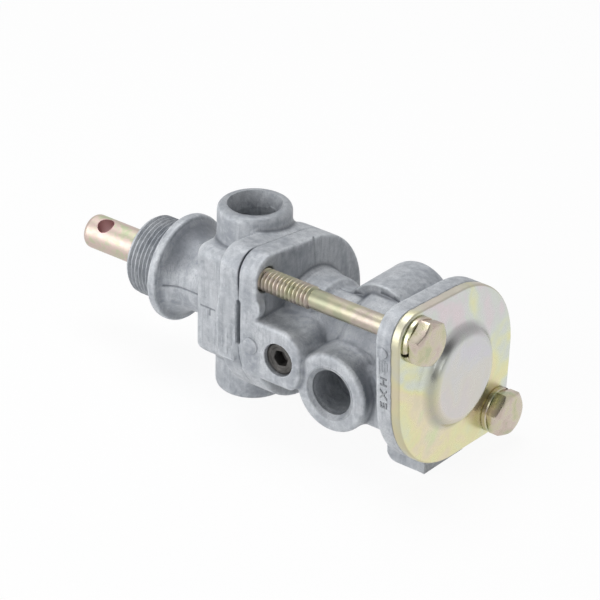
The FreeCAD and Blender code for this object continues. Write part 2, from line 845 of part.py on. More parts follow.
def build():
    """All pieces by name."""
    near, far = screw_places()
    wiper_x1 = wiper_t - thread_length
    stem_wire = stem_ring_wire - ring_gap
    stem_mid_r = rod_r + ring_gap + stem_wire / 2
    nut_x0 = disc_x1 + valve_washer_t
    plate_x1 = tail_shoulder_x + spring_plate_t
    joint_wire = joint_ring_wire - 2 * ring_gap
    cover_wire = cover_ring_wire - 2 * ring_gap
    piston_ring_x = piston_x0 + piston_t / 2
    piston_wire = piston_groove_depth - ring_gap
    piston_mid_r = piston_bore_r - ring_gap - piston_groove_depth / 2
    coil_a = (plunger_spring_r, plunger_spring_wire, plunger_spring_turns)
    coil_b = (piston_spring_r, piston_spring_wire, piston_spring_turns)
    return {
        "upper_body": upper_body(),
        "lower_body": lower_body(),
        "end_cover": end_cover(),
        "cap_screw_upper": cap_screw(*near, head_turns[0]),
        "cap_screw_lower": cap_screw(*far, head_turns[1]),
        "lock_washer_upper": lock_washer(*near, washer_turns[0]),
        "lock_washer_lower": lock_washer(*far, washer_turns[1]),
        "plunger": plunger(),
        "stem_wiper": ring_on_stem(-thread_length, wiper_x1, wiper_r - fit_gap, rod_r + ring_gap),
        "stem_seal_ring": rubber_ring(stem_ring_x, stem_mid_r, stem_wire),
        "valve_disc": ring_on_stem(disc_x0, disc_x1, disc_r, stem_r),
        "valve_washer": ring_on_stem(disc_x1, nut_x0, valve_washer_r, stem_r),
        "valve_nut": nut(nut_x0, nut_x0 + valve_nut_h, valve_nut_flats, stem_r),
        "exhaust_seat": exhaust_seat(),
        "joint_seal_ring": rubber_ring(joint_x + joint_ring_wire / 2 - ring_gap, joint_ring_r, joint_wire),
        "plunger_spring": coil_spring(plate_x1, spring_web_x0, *coil_a),
        "spring_plate": ring_on_stem(tail_shoulder_x, plate_x1, spring_plate_r, tail_r),
        "tail_nut": nut(plate_x1, plate_x1 + tail_nut_h, tail_nut_flats, tail_r),
        "tripper_piston": tripper_piston(),
        "piston_seal_ring": rubber_ring(piston_ring_x, piston_mid_r, piston_wire),
        "piston_spring": coil_spring(spring_web_x1, piston_x0, *coil_b),
        "cover_seal_ring": rubber_ring(end_face_x - cover_ring_wire / 2 + ring_gap, cover_ring_r, cover_wire),
        "side_plug": side_plug(),
    }


def main():
    """Writes one STEP file for each piece."""
    os.makedirs("parts", exist_ok=True)
    for name, shape in build().items():
        shape.exportStep(f"parts/{name}.step")
        box = shape.BoundBox
        print(f"{name}: {len(shape.Solids)} solid, {shape.Volume:.1f} mm3, valid {shape.isValid()}")
        print(f"  X {box.XMin:.2f} to {box.XMax:.2f}, Y {box.YMin:.2f} to {box.YMax:.2f}, "
              f"Z {box.ZMin:.2f} to {box.ZMax:.2f}")


main()
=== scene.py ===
# %% [markdown]
# A push-pull air valve for a dashboard. A short round plunger slides through two grey die castings
# in line, and two long plated screws clamp a domed end cover, the lower casting and the upper one together.
# This notebook dresses the measured solids: it loads them as a fixed frame, gives the castings their soft
# skin, cuts the threads, and writes a finish for each surface.

# %% Load the measured frame
import math

import bmesh
import bpy
import numpy as np
from mathutils import Matrix, Vector


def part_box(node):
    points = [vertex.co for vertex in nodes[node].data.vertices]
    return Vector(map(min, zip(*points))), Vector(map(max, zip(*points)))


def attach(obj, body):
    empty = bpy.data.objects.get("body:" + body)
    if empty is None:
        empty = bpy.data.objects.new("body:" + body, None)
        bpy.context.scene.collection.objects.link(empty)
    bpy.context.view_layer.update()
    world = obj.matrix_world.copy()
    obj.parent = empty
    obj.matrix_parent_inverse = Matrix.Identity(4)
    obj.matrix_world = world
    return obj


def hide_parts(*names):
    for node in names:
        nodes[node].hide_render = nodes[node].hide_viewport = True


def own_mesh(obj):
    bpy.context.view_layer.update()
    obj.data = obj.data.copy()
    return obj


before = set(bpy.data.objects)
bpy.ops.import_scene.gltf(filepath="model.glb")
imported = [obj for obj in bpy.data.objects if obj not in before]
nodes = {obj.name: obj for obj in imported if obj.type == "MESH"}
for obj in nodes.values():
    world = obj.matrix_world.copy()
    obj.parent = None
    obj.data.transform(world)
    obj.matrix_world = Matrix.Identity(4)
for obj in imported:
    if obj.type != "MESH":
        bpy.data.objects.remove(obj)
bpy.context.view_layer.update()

MM = 0.001

# %% [markdown]
# Every piece ends the same way: its place is in its mesh, its object sits at the origin, and it rides on
# one of the moving bodies. A few small helpers keep that in one place.

# %% Helpers for objects


def add_object(name, mesh):
    """New object for a mesh, linked to the scene."""
    obj = bpy.data.objects.new(name, mesh)
    bpy.context.scene.collection.objects.link(obj)
    return obj


def from_arrays(name, points, faces):
    """Mesh object from points in millimetres and faces."""
    mesh = bpy.data.meshes.new(name)
    mesh.from_pydata([tuple(MM * c for c in p) for p in points], [], [tuple(f) for f in faces])
    mesh.update()
    return add_object(name, mesh)


def baked(obj):
    """The object's modifiers made real, and removed."""
    graph = bpy.context.evaluated_depsgraph_get()
    mesh = bpy.data.meshes.new_from_object(
        obj.evaluated_get(graph), preserve_all_data_layers=True, depsgraph=graph
    )
    obj.modifiers.clear()
    old = obj.data
    obj.data = mesh
    bpy.data.meshes.remove(old)
    return obj


def outwards(obj):
    """The object's faces turned outwards."""
    work = bmesh.new()
    work.from_mesh(obj.data)
    bmesh.ops.recalc_face_normals(work, faces=work.faces)
    work.to_mesh(obj.data)
    work.free()
    return obj


def finish_piece(obj, material, body, smooth_angle=40, replaces=()):
    """Material, smooth shading below an angle, body, and the solids that the piece stands for."""
    obj.data.materials.clear()
    obj.data.materials.append(material)
    obj.data.shade_smooth()
    obj.data.set_sharp_from_angle(angle=math.radians(smooth_angle))
    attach(obj, body)
    if replaces:
        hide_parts(*replaces)
    print(obj.name, len(obj.data.polygons), "faces")
    return obj


# %% [markdown]
# Shader trees, shape trees and the studio's world are all made of nodes, so one helper adds a node anywhere:
# it sets the node's options, then fills its sockets with numbers or with links from other nodes.

# %% Helper for nodes


def add_node(tree, kind, options=None, **sockets):
    """New node. A socket is named as in Blender, with _ for a space, or i0, i1 and so on by its number."""
    node = tree.nodes.new(kind)
    for key, value in (options or {}).items():
        setattr(node, key, value)
    for key, value in sockets.items():
        by_number = key[0] == "i" and key[1:].isdigit()
        socket = node.inputs[int(key[1:]) if by_number else key.replace("_", " ")]
        if isinstance(value, bpy.types.NodeSocket):
            tree.links.new(value, socket)
        else:
            socket.default_value = value
    return node


# %% [markdown]
# A finish is a small tree of shader nodes. This class gives each usual step a short name, so that each
# finish below reads as a recipe. Patterns read the place on the object, so they stay put when a piece moves.

# %% Helpers for finishes


class Finish:
    """A material whose nodes are added one call at a time."""

    def __init__(self, name, metallic, roughness, color=(0.5, 0.5, 0.5)):
        self.material = bpy.data.materials.new(name)
        self.material.use_nodes = True
        self.tree = self.material.node_tree
        self.shader = self.tree.nodes["Principled BSDF"]
        self.shader.inputs["Metallic"].default_value = metallic
        self.shader.inputs["Roughness"].default_value = roughness
        self.shader.inputs["Base Color"].default_value = (*color, 1)
        self.place = self.add("ShaderNodeTexCoord").outputs["Object"]

    def add(self, kind, options=None, **sockets):
        return add_node(self.tree, kind, options, **sockets)

    def noise(self, size_mm, detail=3.0, distortion=0.0, stretch=(1, 1, 1)):
        """Noise from 0 to 1 whose blots are about so many millimetres wide."""
        vector = self.place
        if stretch != (1, 1, 1):
            vector = self.add("ShaderNodeMapping", Vector=self.place, Scale=stretch).outputs[0]
        scale = 1 / (size_mm * MM)
        sizes = {"Scale": scale, "Detail": detail, "Distortion": distortion}
        return self.add("ShaderNodeTexNoise", Vector=vector, **sizes).outputs["Fac"]

    def math(self, operation, a, b=0.0):
        return self.add("ShaderNodeMath", {"operation": operation}, i0=a, i1=b).outputs[0]

    def vector(self, operation, a, b=(0, 0, 0), out=0):
        return self.add("ShaderNodeVectorMath", {"operation": operation}, i0=a, i1=b).outputs[out]

    def spread(self, value, low, high, to_low=0.0, to_high=1.0):
        """The value stretched from one range to another, and clamped."""
        ends = {"From_Min": low, "From_Max": high, "To_Min": to_low, "To_Max": to_high}
        return self.add("ShaderNodeMapRange", Value=value, **ends).outputs[0]

    def ramp(self, value, stops, blend="LINEAR"):
        """Colours along a value: stops are (position, (r, g, b))."""
        node = self.add("ShaderNodeValToRGB", Fac=value)
        node.color_ramp.interpolation = blend
        elements = node.color_ramp.elements
        while len(elements) < len(stops):
            elements.new(0.5)
        for element, (position, color) in zip(elements, stops):
            element.position = position
            element.color = (*color, 1)
        return node.outputs["Color"]

    def mix(self, factor, a, b):
        """Two colours mixed by a factor."""
        a, b = ((*v, 1) if isinstance(v, tuple) else v for v in (a, b))
        return self.add("ShaderNodeMix", {"data_type": "RGBA"}, i0=factor, i6=a, i7=b).outputs[2]

    def attribute(self, name):
        """A value stored on the mesh."""
        return self.add("ShaderNodeAttribute", {"attribute_name": name}).outputs["Fac"]

    def color(self, socket):
        self.tree.links.new(socket, self.shader.inputs["Base Color"])

    def roughness(self, socket):
        self.tree.links.new(socket, self.shader.inputs["Roughness"])

    def bump(self, height, depth_mm, strength=1.0):
        """Relief from a height of 0 to 1, so many millimetres deep. Calls stack on each other."""
        node = self.add("ShaderNodeBump", Strength=strength, Distance=depth_mm * MM, Height=height)
        before = self.shader.inputs["Normal"].links
        if before:
            self.tree.links.new(before[0].from_socket, node.inputs["Normal"])
        self.tree.links.new(node.outputs["Normal"], self.shader.inputs["Normal"])


# %% [markdown]
# The castings are a zinc and aluminium die casting, left as it came from the mould: a bluish grey skin with
# paler worn edges, drag marks along the draw of the mould, a fine grain, and painted shade in its hollows,
# seams and recesses. The colour is written from several sizes of noise, mixed one over the other, and two
# values stored on the mesh say where its edges are and how much painted shade each point takes. A picture
# of real metal would be quicker, but it would stretch over the blends and show its joints. Threads use the
# same recipe, darker and without the wear or the shade. The raised word uses a still darker copy, whose
# darkness is painted shade.

# %% Finish of the castings
ALONG_THE_DRAW = (1.0, 1.0, 0.07)
STREAK_STRETCH = (1.0, 1.0, 0.12)
# The second colour darkens hollows, seams and shaded places: it is painted shade.
EDGE_COLOR, PAINTED_SHADE_COLOR = (0.70, 0.73, 0.76), (0.08, 0.09, 0.11)


def cast_finish(name, worn_and_shaded, level=1.0):
    """Grey cast metal. With wear and shade on, it reads its rubbed edges and its painted shade from the mesh,
    and a low level darkens it.
    """
    f = Finish(name, 0.2, 0.5)

    def tone(*color):
        return tuple(level * c for c in color)

    cloud = f.noise(9, 4, 0.6)
    blots = f.noise(1.6, 5, 0.4)
    grain = f.noise(0.35, 3)
    lines = f.noise(0.42, 3, 0.0, ALONG_THE_DRAW)
    streaks = f.noise(2.4, 3, 0.3, STREAK_STRETCH)
    dragged = f.math("MULTIPLY", f.spread(lines, 0.52, 0.70), f.spread(cloud, 0.40, 0.56, 0.1, 0.55))
    base = f.ramp(cloud, [
        (0.34, tone(0.32, 0.34, 0.372)), (0.50, tone(0.42, 0.44, 0.468)), (0.66, tone(0.53, 0.548, 0.57)),
    ])
    layers = [
        (f.spread(blots, 0.48, 0.68, 0.0, 0.50), (0.62, 0.64, 0.665)),
        (f.spread(blots, 0.44, 0.28, 0.0, 0.50), (0.22, 0.24, 0.28)),
        (f.spread(grain, 0.42, 0.75, 0.0, 0.40), (0.24, 0.26, 0.29)),
        (dragged, (0.25, 0.27, 0.30)),
        (f.spread(streaks, 0.52, 0.70, 0.0, 0.40), (0.27, 0.285, 0.315)),
        (f.spread(streaks, 0.46, 0.30, 0.0, 0.40), (0.60, 0.62, 0.645)),
    ]
    for share, color in layers:
        base = f.mix(share, base, tone(*color))
    if worn_and_shaded:
        patchy = f.spread(blots, 0.3, 0.6, 0.12, 0.55)
        base = f.mix(f.math("MULTIPLY", f.attribute("edge"), patchy), base, EDGE_COLOR)
        # Painted shade: the value stored for hollows and shaded places darkens the colour towards a dark blue
        # grey.
        base = f.mix(f.math("MULTIPLY", f.attribute("painted_shade"), 0.86), base, PAINTED_SHADE_COLOR)
    f.color(base)
    f.roughness(f.spread(blots, 0.2, 0.8, 0.42, 0.62))
    f.bump(grain, 0.05, 0.8)
    f.bump(lines, 0.05, 0.5)
    f.bump(blots, 0.16, 0.7)
    print(name, len(f.tree.nodes), "nodes")
    return f.material


cast_metal = cast_finish("cast_metal_skin", True)
cut_metal = cast_finish("cast_metal_cut", False, 0.86)
# A still darker copy for the raised word: painted shade on its strokes.
cast_shade = cast_finish("cast_metal_shade", False, 0.6)

# %% [markdown]
# Steel pieces are zinc plated and passivated yellow. The film is so thin that it shows interference colours:
# pale yellow green, with drifting patches of pink, green and lilac. The shader can work out such a film,
# but then its patches are hard to place. Here a wide, distorted noise runs through a row of those colours,
# and a fine grain breaks the gloss. Small helpers add what single pieces need: a greyer disc on the top of
# the pressed dome and a dark ring of painted shade on its foot, the tint of a drilled hole's wall, a duller
# tan rim darkened partly with painted shade, and a duller shank.

# %% Helpers for the plating
RING_BLUR = 1.0
# The rim's tan is partly its colour and partly painted shade, in place of the lamps' reflection in its
# fillet.
RIM_TAN_AND_SHADE, DULL_COLOR, GRAIN_COLOR = (0.46, 0.41, 0.30), (0.20, 0.19, 0.17), (0.40, 0.38, 0.32)


def axis_distance(f, y, z):
    """Distance from the valve's long axis, in millimetres."""
    square = f.math("ADD", f.math("POWER", y, 2.0), f.math("POWER", z, 2.0))
    return f.math("DIVIDE", f.math("SQRT", square), MM)


def ringed(f, color, radius, rings):
    """Rings between a lowest and a highest radius, each with its strength and colour."""
    for low, high, strength, ring_color in rings:
        middle, half = (low + high) / 2, (high - low) / 2
        away = f.math("ABSOLUTE", f.math("SUBTRACT", radius, middle))
        share = f.spread(away, half - RING_BLUR, half + RING_BLUR, strength, 0.0)
        color = f.mix(share, color, ring_color)
    return color


def hole_tinted(f, color, start, along, wide, hole_color):
    """The wall of a drilled hole, found by how near it is to the drill's line."""
    reach = f.vector("CROSS_PRODUCT", f.vector("SUBTRACT", f.place, start), along)
    reach = f.vector("LENGTH", reach, out="Value")
    return f.mix(f.spread(reach, wide, wide + 0.15 * MM, 0.8, 0.0), color, hole_color)


def rim_shade_share(f, radius, start):
    """1 on faces outside a radius that don't face along the valve."""
    normal = f.add("ShaderNodeNewGeometry").outputs["Normal"]
    along = f.add("ShaderNodeSeparateXYZ", Vector=normal).outputs[0]
    turned = f.spread(f.math("ABSOLUTE", along), 0.80, 0.97, 1.0, 0.0)
    return f.math("MULTIPLY", turned, f.spread(radius, start, start + 1.0))


def duller_and_darker(f, color, rough, share, amount, dull_color, more_rough):
    """A part of the piece made duller in gloss and darker in colour; on the cover's rim that darker colour is
    partly painted shade.
    """
    color = f.mix(f.math("MULTIPLY", share, amount), color, dull_color)
    return color, f.math("ADD", rough, f.math("MULTIPLY", share, more_rough))


print("rings blur over", 2 * RING_BLUR, "mm")

# %% Recipe of the plating


def plated_finish(name, stops, patch_mm, roughness, swirl=0.5, lines=None, drift=None, rings=(),
                  shaded_rim_from=None, dull_to=None, hole=None):
    """Yellow zinc plating, its colours picked from the stops by patches of a size in millimetres."""
    f = Finish(name, 1.0, roughness)
    patches = f.noise(patch_mm, 2, swirl)
    soft = f.noise(patch_mm * 0.3, 3, 0.6)
    fine = f.noise(0.4, 3)
    x, y, z = f.add("ShaderNodeSeparateXYZ", Vector=f.place).outputs
    radius = axis_distance(f, y, z)
    tint = f.math("ADD", patches, f.math("MULTIPLY", f.math("SUBTRACT", soft, 0.5), 0.30))
    if drift:
        for part, step in zip((y, z), drift):
            tint = f.math("ADD", tint, f.math("MULTIPLY", part, step / MM))
    color = ringed(f, f.ramp(tint, stops, "B_SPLINE"), radius, rings)
    color = f.mix(f.spread(fine, 0.45, 0.8, 0.0, 0.18), color, GRAIN_COLOR)
    if hole:
        color = hole_tinted(f, color, *hole)
    rough = f.spread(soft, 0.25, 0.75, roughness - 0.05, roughness + 0.08)
    # The cover's rim: rougher, and tan and darker, partly its colour and partly painted shade.
    if shaded_rim_from:
        color, rough = duller_and_darker(f, color, rough, rim_shade_share(f, radius, shaded_rim_from), 0.60, RIM_TAN_AND_SHADE, 0.16)
    if dull_to:
        share = f.spread(x, dull_to * MM, (dull_to + 0.5) * MM, 1.0, 0.0)
        color, rough = duller_and_darker(f, color, rough, share, 0.38, DULL_COLOR, 0.12)
    f.color(color)
    f.roughness(rough)
    f.bump(fine, 0.004, 0.5)
    if lines:
        f.bump(f.noise(lines, 2, 0.0, (1.0, 0.02, 0.02)), 0.012, 0.6)
    print(name, len(f.tree.nodes), "nodes")
    return f.material


# %% Finishes of the plated steel
DOME_TOP = (-8.0, 11.4, 0.72, (0.60, 0.58, 0.63))
# A dark grey ring on the dome's sloping foot: painted shade where the slope would mirror the lamp.
DOME_FOOT_SHADE = (11.8, 14.2, 0.6, (0.27, 0.27, 0.28))
DULL_SHANK_TO = 90.5
PIN_HOLE = ((-0.0255, 0.0, 0.0), (0.0, -0.42262, 0.90631), 2.45 * MM, (0.62, 0.40, 0.41))

cover_zinc = plated_finish(
    "cover_zinc",
    [(0.22, (0.68, 0.60, 0.62)), (0.36, (0.60, 0.65, 0.63)), (0.48, (0.68, 0.70, 0.52)),
     (0.60, (0.76, 0.73, 0.37)), (0.72, (0.76, 0.64, 0.53)), (0.84, (0.64, 0.70, 0.42))],
    16, 0.27, swirl=0.9, drift=(-0.004, -0.005), shaded_rim_from=17.0, rings=[DOME_TOP, DOME_FOOT_SHADE],
)
screw_zinc = plated_finish(
    "screw_zinc",
    [(0.32, (0.44, 0.47, 0.31)), (0.44, (0.58, 0.53, 0.36)), (0.54, (0.60, 0.55, 0.45)),
     (0.64, (0.58, 0.45, 0.42)), (0.76, (0.44, 0.46, 0.30))],
    6, 0.27, dull_to=DULL_SHANK_TO,
)
rod_zinc = plated_finish(
    "rod_zinc",
    [(0.34, (0.45, 0.50, 0.33)), (0.45, (0.57, 0.51, 0.42)), (0.56, (0.62, 0.46, 0.45)),
     (0.68, (0.47, 0.50, 0.36))],
    4.5, 0.46, lines=0.25, hole=PIN_HOLE,
)

# %% [markdown]
# The pieces inside are seen only when someone takes the valve apart, and each still has its own finish:
# bright turned steel, drawn spring wire, machined aluminium, brass, black moulded rubber and dark oxide.

# %% Finishes of the inner pieces


def plain_finish(name, metallic, roughness, color, dark, patch_mm, grain_mm, depth):
    """One colour with darker patches and a fine grain."""
    f = Finish(name, metallic, roughness)
    patches = f.noise(patch_mm, 3, 0.4)
    grain = f.noise(grain_mm, 2)
    base = f.mix(f.spread(patches, 0.3, 0.75), color, dark)
    f.color(f.mix(f.spread(grain, 0.35, 0.8, 0.0, 0.3), base, dark))
    f.roughness(f.spread(grain, 0.2, 0.8, roughness - 0.05, roughness + 0.1))
    f.bump(grain, depth, 0.6)
    return f.material


turned_steel = plain_finish("turned_steel", 1.0, 0.30, (0.62, 0.62, 0.61), (0.46, 0.46, 0.47), 4, 0.3, 0.02)
spring_wire = plain_finish("spring_wire", 1.0, 0.34, (0.52, 0.51, 0.50), (0.34, 0.34, 0.34), 2, 0.2, 0.02)
piston_metal = plain_finish("piston_metal", 1.0, 0.34, (0.68, 0.69, 0.70), (0.52, 0.53, 0.55), 6, 0.3, 0.02)
seat_brass = plain_finish("seat_brass", 1.0, 0.30, (0.78, 0.62, 0.30), (0.60, 0.44, 0.20), 5, 0.3, 0.02)
black_rubber = plain_finish(
    "black_rubber", 0.0, 0.55, (0.035, 0.035, 0.036), (0.06, 0.06, 0.06), 3, 0.2, 0.03
)
dark_oxide = plain_finish("dark_oxide", 0.8, 0.50, (0.13, 0.125, 0.12), (0.06, 0.058, 0.055), 2, 0.25, 0.03)

# %% Finishes given to the solids
solid_finishes = {
    "plunger": rod_zinc, "stem_wiper": black_rubber, "stem_seal_ring": black_rubber,
    "valve_disc": black_rubber, "valve_washer": turned_steel, "valve_nut": turned_steel,
    "exhaust_seat": seat_brass, "joint_seal_ring": black_rubber, "plunger_spring": spring_wire,
    "spring_plate": turned_steel, "tail_nut": turned_steel, "tripper_piston": piston_metal,
    "piston_seal_ring": black_rubber, "piston_spring": spring_wire, "cover_seal_ring": black_rubber,
    "side_plug": dark_oxide, "lock_washer_upper": screw_zinc, "lock_washer_lower": screw_zinc,
}
for node, finish in solid_finishes.items():
    nodes[node].data.materials.clear()
    nodes[node].data.materials.append(finish)
print(len(solid_finishes), "solids have a finish")

# %% [markdown]
# Melted metal can't fill a knife-sharp corner, so a die casting has soft blends everywhere. The solid has
# only its main radii. Bevels on every edge would fail where many of them cross, as they do under the bosses.
# So a fine voxel skin is drawn over the solid, and its points are averaged with their neighbours: a little
# where the form is convex, much more where it is hollow, and hardly at all on the machined joint faces.
# The same averaging tells where edges and hollows are, for the worn edges and for painted shade in the
# hollows.

# %% Helpers for points


def rising(value, start, end):
    """0 up to a start and 1 from an end, with a straight rise between, or a fall where the end is lower."""
    return np.clip((value - start) / (end - start), 0, 1)


def read_points(mesh):
    """The mesh's points in millimetres."""
    points = np.empty(len(mesh.vertices) * 3)
    mesh.vertices.foreach_get("co", points)
    return points.reshape(-1, 3) / MM


def write_points(mesh, points):
    """The mesh's points set from millimetres."""
    mesh.vertices.foreach_set("co", (points * MM).ravel())
    mesh.update()


def write_value(mesh, name, values):
    """A value for each point, stored on the mesh under a name that a finish can read."""
    layer = mesh.attributes.new(name, "FLOAT", "POINT")
    layer.data.foreach_set("value", values.astype(np.float32))


def averaged(points, edges, strength, rounds):
    """Points moved towards the mean of their neighbours, again and again."""
    a, b = edges.T
    count = np.bincount(edges.ravel(), minlength=len(points))[:, None]
    for _ in range(rounds):
        total = np.empty_like(points)
        for k in range(3):
            along = points[:, k]
            total[:, k] = np.bincount(a, along[b], len(points)) + np.bincount(b, along[a], len(points))
        points = points + 0.5 * strength * (total / count - points)
    return points


print("half way up a rise:", rising(np.array([1.5]), 1.0, 2.0))

# %% [markdown]
# The skin is fine enough for a rounding of half a millimetre, and is thinned at the end.

# %% Soft skin for the castings
VOXEL = 0.26
SKIN_TRIANGLES = 185000
HOLLOW_ROUNDS = 60


def voxel_skin(node, name):
    """Even skin over a copy of a solid, with the solid's doubles merged first."""
    mesh = nodes[node].data.copy()
    work = bmesh.new()
    work.from_mesh(mesh)
    bmesh.ops.remove_doubles(work, verts=work.verts, dist=0.002 * MM)
    work.to_mesh(mesh)
    work.free()
    obj = add_object(name, mesh)
    remesh = obj.modifiers.new("skin", "REMESH")
    remesh.mode = "VOXEL"
    remesh.voxel_size = VOXEL * MM
    return baked(obj)


def soft_skin(node, name, freedom, reshape, rounds=10, triangles=SKIN_TRIANGLES):
    """Skin over a casting or a pressing. freedom gives how freely each point moves, and reshape edits the
    points and says how much painted shade each one takes."""
    obj = voxel_skin(node, name)
    mesh = obj.data
    points = read_points(mesh)
    edges = np.empty(len(mesh.edges) * 2, np.int64)
    mesh.edges.foreach_get("vertices", edges)
    edges = edges.reshape(-1, 2)
    strength = freedom(*points.T)[:, None]
    light = averaged(points, edges, strength, rounds)
    heavy = averaged(light, edges, strength, HOLLOW_ROUNDS)
    write_points(mesh, light)
    normals = np.empty(len(mesh.vertices) * 3)
    mesh.vertex_normals.foreach_get("vector", normals)
    rise = ((heavy - light) * normals.reshape(-1, 3)).sum(1)
    fill = rising(rise, 0, 0.06)[:, None]
    points, region_shade = reshape(light + fill * (heavy - light))
    write_points(mesh, points)
    write_value(mesh, "edge", rising(-rise, 0.05, 0.35))
    # Painted shade: darker where the heavy averaging would fill a hollow, and wherever reshape gives shade.
    write_value(mesh, "painted_shade", np.maximum(rising(rise, 0.02, 0.36), region_shade))
    thin = obj.modifiers.new("thin", "DECIMATE")
    thin.ratio = min(1.0, triangles / (2 * len(mesh.polygons)))
    baked(obj)
    print(name, "hollows filled by up to", round(float(rise.max()), 2), "mm")
    return obj


# %% [markdown]
# The mould leaves thin seams where its halves met. They could be cut out with booleans, but a cut spoils the
# even skin, so a seam is pressed into the skin's points as a narrow groove. Each groove also says how much
# painted shade it takes, most along its middle. The joint between the castings shows as a dark line of
# painted shade only at its upper near corner, where the edges are drawn back a little.

# %% Seams and the joint
JOINT_X = 37.5
JOINT_REACH, JOINT_HOLD = 1.4, 0.12


def creased(points, seams):
    """Narrow V grooves, and how deep each point lies in one, from 0 to 1. A seam is a box, the axis across
    it and the way it is pressed in, all in millimetres."""
    points = points.copy()
    depth = np.zeros(len(points))
    for low, high, across, inwards in seams:
        low, high = np.array(low), np.array(high)
        within = ((points > low) & (points < high)).all(1)
        middle, half = (low + high)[across] / 2, (high - low)[across] / 2
        share = np.where(within, 1 - np.abs(points[:, across] - middle) / half, 0)
        points += share[:, None] * np.array(inwards)
        depth = np.maximum(depth, share)
    return points, depth


def joint_freedom(x):
    """Nearly none at the machined joint."""
    return np.clip(np.abs(x - JOINT_X) / JOINT_REACH, JOINT_HOLD, 1)


def joint_opened(points, way):
    """The joint's edge drawn back at its upper near corner, and how much painted shade it takes there."""
    x, y, z = points.T
    corner = rising(y, -14.6, -18.1) * rising(z, 12.5, 16.5)
    share = corner * rising(np.abs(x - JOINT_X), 0.55, 0)
    points[:, 0] += way * 0.18 * share
    # Painted shade in the opened joint.
    return 0.8 * share


print("joint at x", JOINT_X, "mm")

# %% [markdown]
# The upper casting carries the neck with its thread, the supply port on top and the delivery port below. Its
# neck is brought down to the thread's root, because the thread is wound on as a piece of its own.

# %% Upper casting
THREAD_ROOT_R = 10.42
SUPPLY_X = 24.7
PORT_FACE_Z = 26.8
UPPER_SEAMS = [
    ((3.4, -13.8, -0.40), (14.6, -8.0, 0.40), 2, (0, 0.60, 0)),
    ((17.9, -15.0, -0.42), (23.2, -12.0, 0.42), 2, (0, 0.50, 0)),
    ((20.8, -15.0, -2.2), (21.7, -12.0, 0.0), 0, (0, 0.22, 0)),
]


def upper_freedom(x, y, z):
    return joint_freedom(x)


def neck_turned(points):
    """The neck turned down to the root of its thread."""
    x, y, z = points.T
    r = np.hypot(y, z)
    neck = (x < -0.15) & (r > 9.5)
    scale = np.where(neck & (r > THREAD_ROOT_R), THREAD_ROOT_R / np.maximum(r, 1e-6), 1)
    return points * np.column_stack([np.ones_like(x), scale, scale])


def mouths_opened(points):
    """The mouths of the two upright ports opened to a cone, for the threaded sleeves."""
    x, y, z = points.T
    r = np.hypot(x - SUPPLY_X, y)
    depth = PORT_FACE_Z - np.abs(z)
    mouth = (r < 7.6) & (depth > -0.5) & (depth < 3.2)
    cone = 7.42 - 0.33 * np.maximum(depth, 0)
    wide = np.where(mouth, np.maximum(r, cone) / np.maximum(r, 1e-6), 1)
    return np.column_stack([SUPPLY_X + (x - SUPPLY_X) * wide, y * wide, z])


def upper_reshape(points):
    points, seam_shade = creased(mouths_opened(neck_turned(points)), UPPER_SEAMS)
    x, y, z = points.T
    # Painted shadow behind the collar's flange, and painted shade on the top of the supply boss's rim,
    # darkest towards its mouth.
    collar_shadow = 0.75 * rising(x, 2.6, 3.6) * rising(x, 13.0, 6.0) * rising(z, 1.0, 6.0)
    collar_shadow = collar_shadow * (np.hypot(y, z) < 17.0)
    r = np.hypot(x - SUPPLY_X, y)
    rim = 0.42 * rising(r, 10.4, 8.8) * rising(np.abs(z), 25.6, 26.4)
    return points, np.maximum.reduce([seam_shade, joint_opened(points, -1), collar_shadow, rim])


upper_skin = soft_skin("upper_body", "upper_casting", upper_freedom, upper_reshape)
finish_piece(upper_skin, cast_metal, "housing", 180, ["upper_body"])

# %% [markdown]
# The lower casting is a barrel between the joint flange and the end flange, with the exhaust port towards
# the viewer. Painted shade is deep between the exhaust boss and its block, on the block beyond the boss,
# and in the recess behind the upper screw.

# %% Lower casting
END_FACE_X = 88.3
PLUG_PLACE = (50.7, -1.2)
EXHAUST_PLACE = (66.4, -5.8)
BOSS_FACE_Y = -19.6
LOWER_SEAMS = [
    ((53.2, -0.38, 10.0), (61.3, 0.38, 13.0), 1, (0, 0, -0.55)),
    ((66.4, -0.38, 12.0), (72.4, 0.38, 15.5), 1, (0, 0, -0.55)),
]


def lower_freedom(x, y, z):
    """Held at the machined joint, at the end face and at the plug's hole."""
    end = np.clip((END_FACE_X - x) / 1.2, 0.12, 1)
    plug = np.clip((np.hypot(x - PLUG_PLACE[0], z - PLUG_PLACE[1]) - 4.6) / 0.8, 0.15, 1)
    plug = np.where(y < -14, plug, 1)
    return np.minimum.reduce([joint_freedom(x), end, plug])


def boss_shades(x, y, z):
    """Round the exhaust boss: a groove at its foot, painted shade along it, and a wider painted shade on the
    block beyond.
    """
    away = np.hypot(x - EXHAUST_PLACE[0], z - EXHAUST_PLACE[1])
    turn = np.degrees(np.arctan2(z - EXHAUST_PLACE[1], x - EXHAUST_PLACE[0]))
    arc = rising(turn, -15, 5) * rising(turn, 80, 50) * ((y < -13) & (y > BOSS_FACE_Y))
    groove = rising(np.abs(away - 11.9), 1.1, 0) * arc
    shade = rising(np.abs(away - 11.6), 2.1, 0.6) * arc
    inner = np.maximum(y > BOSS_FACE_Y, rising(x, 76, 80) * (x < 83))
    wide_arc = rising(turn, -15, 5) * rising(turn, 118, 93) * rising(y, -4, -8) * inner
    wide_shade = 0.85 * rising(away, 10.5, 11.5) * rising(away, 24, 19) * wide_arc
    return groove, np.maximum(shade, wide_shade)


